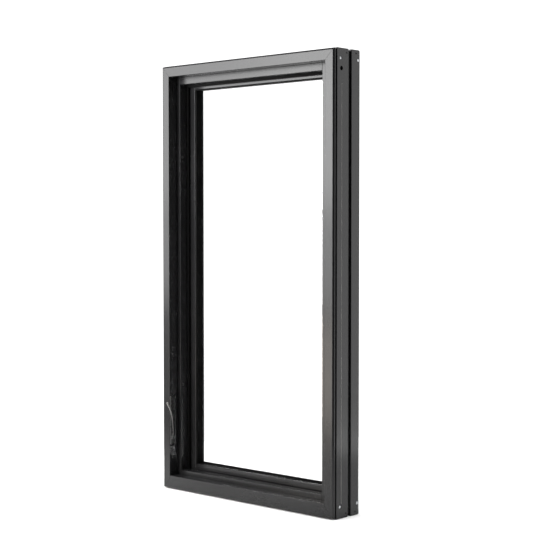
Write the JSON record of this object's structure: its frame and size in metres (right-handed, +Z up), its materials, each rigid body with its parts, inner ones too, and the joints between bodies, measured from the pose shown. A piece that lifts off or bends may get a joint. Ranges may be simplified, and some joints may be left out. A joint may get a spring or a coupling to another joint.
{
  "type": "casement window with lock lever",
  "caption": "Black casement window unit: stepped hollow frame, side-hung glazed sash that swings outward, and a slim curved jamb lever that works a multi-point lock.",
  "frame": {"origin": "middle of the sill's underside, 36 mm behind the room-side face", "axes": "+X to the right seen from the room, +Y to the outdoors through the window, +Z up"},
  "size_m": [0.635, 0.1277, 1.194],
  "materials": {
    "black_coat": "satin",
    "rubber": "matte",
    "glass": "polished",
    "spacer": "matte",
    "zinc_plate": "satin",
    "stainless": "satin",
    "black_lever": "satin",
    "nylon": "matte"
  },
  "bodies": {
    "frame": {"corner_screw_hinge_head_back": "zinc_plate", "corner_screw_hinge_head_front": "zinc_plate", "corner_screw_hinge_sill_back": "zinc_plate", "corner_screw_hinge_sill_front": "zinc_plate", "corner_screw_lock_head_back": "zinc_plate", "corner_screw_lock_head_front": "zinc_plate", "corner_screw_lock_sill_back": "zinc_plate", "corner_screw_lock_sill_front": "zinc_plate", "escutcheon_screw_lower": "black_lever", "escutcheon_screw_upper": "black_lever", "frame_head": "black_coat", "frame_jamb_hinge": "black_coat", "frame_jamb_lock": "black_coat", "frame_sill": "black_coat", "hinge_plate_bottom": "stainless", "hinge_plate_top": "stainless", "hinge_washer_bottom": "nylon", "hinge_washer_top": "nylon", "lock_backplate": "zinc_plate", "lock_escutcheon": "black_lever", "stop_head": "black_coat", "stop_jamb_hinge": "black_coat", "stop_jamb_lock": "black_coat", "stop_plug_lower": "nylon", "stop_plug_upper": "nylon", "stop_sill": "black_coat", "tie_bar_guide_lower": "nylon", "tie_bar_guide_middle": "nylon", "tie_bar_guide_upper": "nylon", "weatherstrip_head": "rubber", "weatherstrip_hinge": "rubber", "weatherstrip_lock": "rubber", "weatherstrip_sill": "rubber"},
    "sash": {"glass_inner": "glass", "glass_outer": "glass", "glass_spacer": "spacer", "glazing_bead_head": "black_coat", "glazing_bead_hinge": "black_coat", "glazing_bead_lock": "black_coat", "glazing_bead_sill": "black_coat", "glazing_gasket_head": "rubber", "glazing_gasket_hinge": "rubber", "glazing_gasket_lock": "rubber", "glazing_gasket_sill": "rubber", "hinge_bush_bottom": "nylon", "hinge_bush_top": "nylon", "keeper_lower": "zinc_plate", "keeper_upper": "zinc_plate", "sash_rail_bottom": "black_coat", "sash_rail_top": "black_coat", "sash_stile_hinge": "black_coat", "sash_stile_lock": "black_coat", "setting_block_left": "nylon", "setting_block_right": "nylon"},
    "lever": {"lock_lever": "black_lever", "lever_shaft": "zinc_plate"},
    "tie_bar": {"tie_bar": "stainless", "lock_roller_lower": "zinc_plate", "lock_roller_upper": "zinc_plate"}
  },
  "joints": [
    {"name": "sash_swing", "type": "hinge", "parent": "frame", "child": "sash", "pos_m": [0.2795, 0.061, 0.6], "axis": [0, 0, -1], "range_deg": [0, 90]},
    {"name": "lever_turn", "type": "hinge", "parent": "frame", "child": "lever", "pos_m": [-0.2885, -0.028, 0.148], "axis": [1, 0, 0], "range_deg": [0, 150]},
    {"name": "tie_bar_slide", "type": "slide", "parent": "frame", "child": "tie_bar", "axis": [0, 0, 1], "range_m": [0, 0.02125]}
  ],
  "couplings": [
    {"joint": "lever_turn", "follows": "tie_bar_slide", "rad_per_m": 123.19}
  ]
}
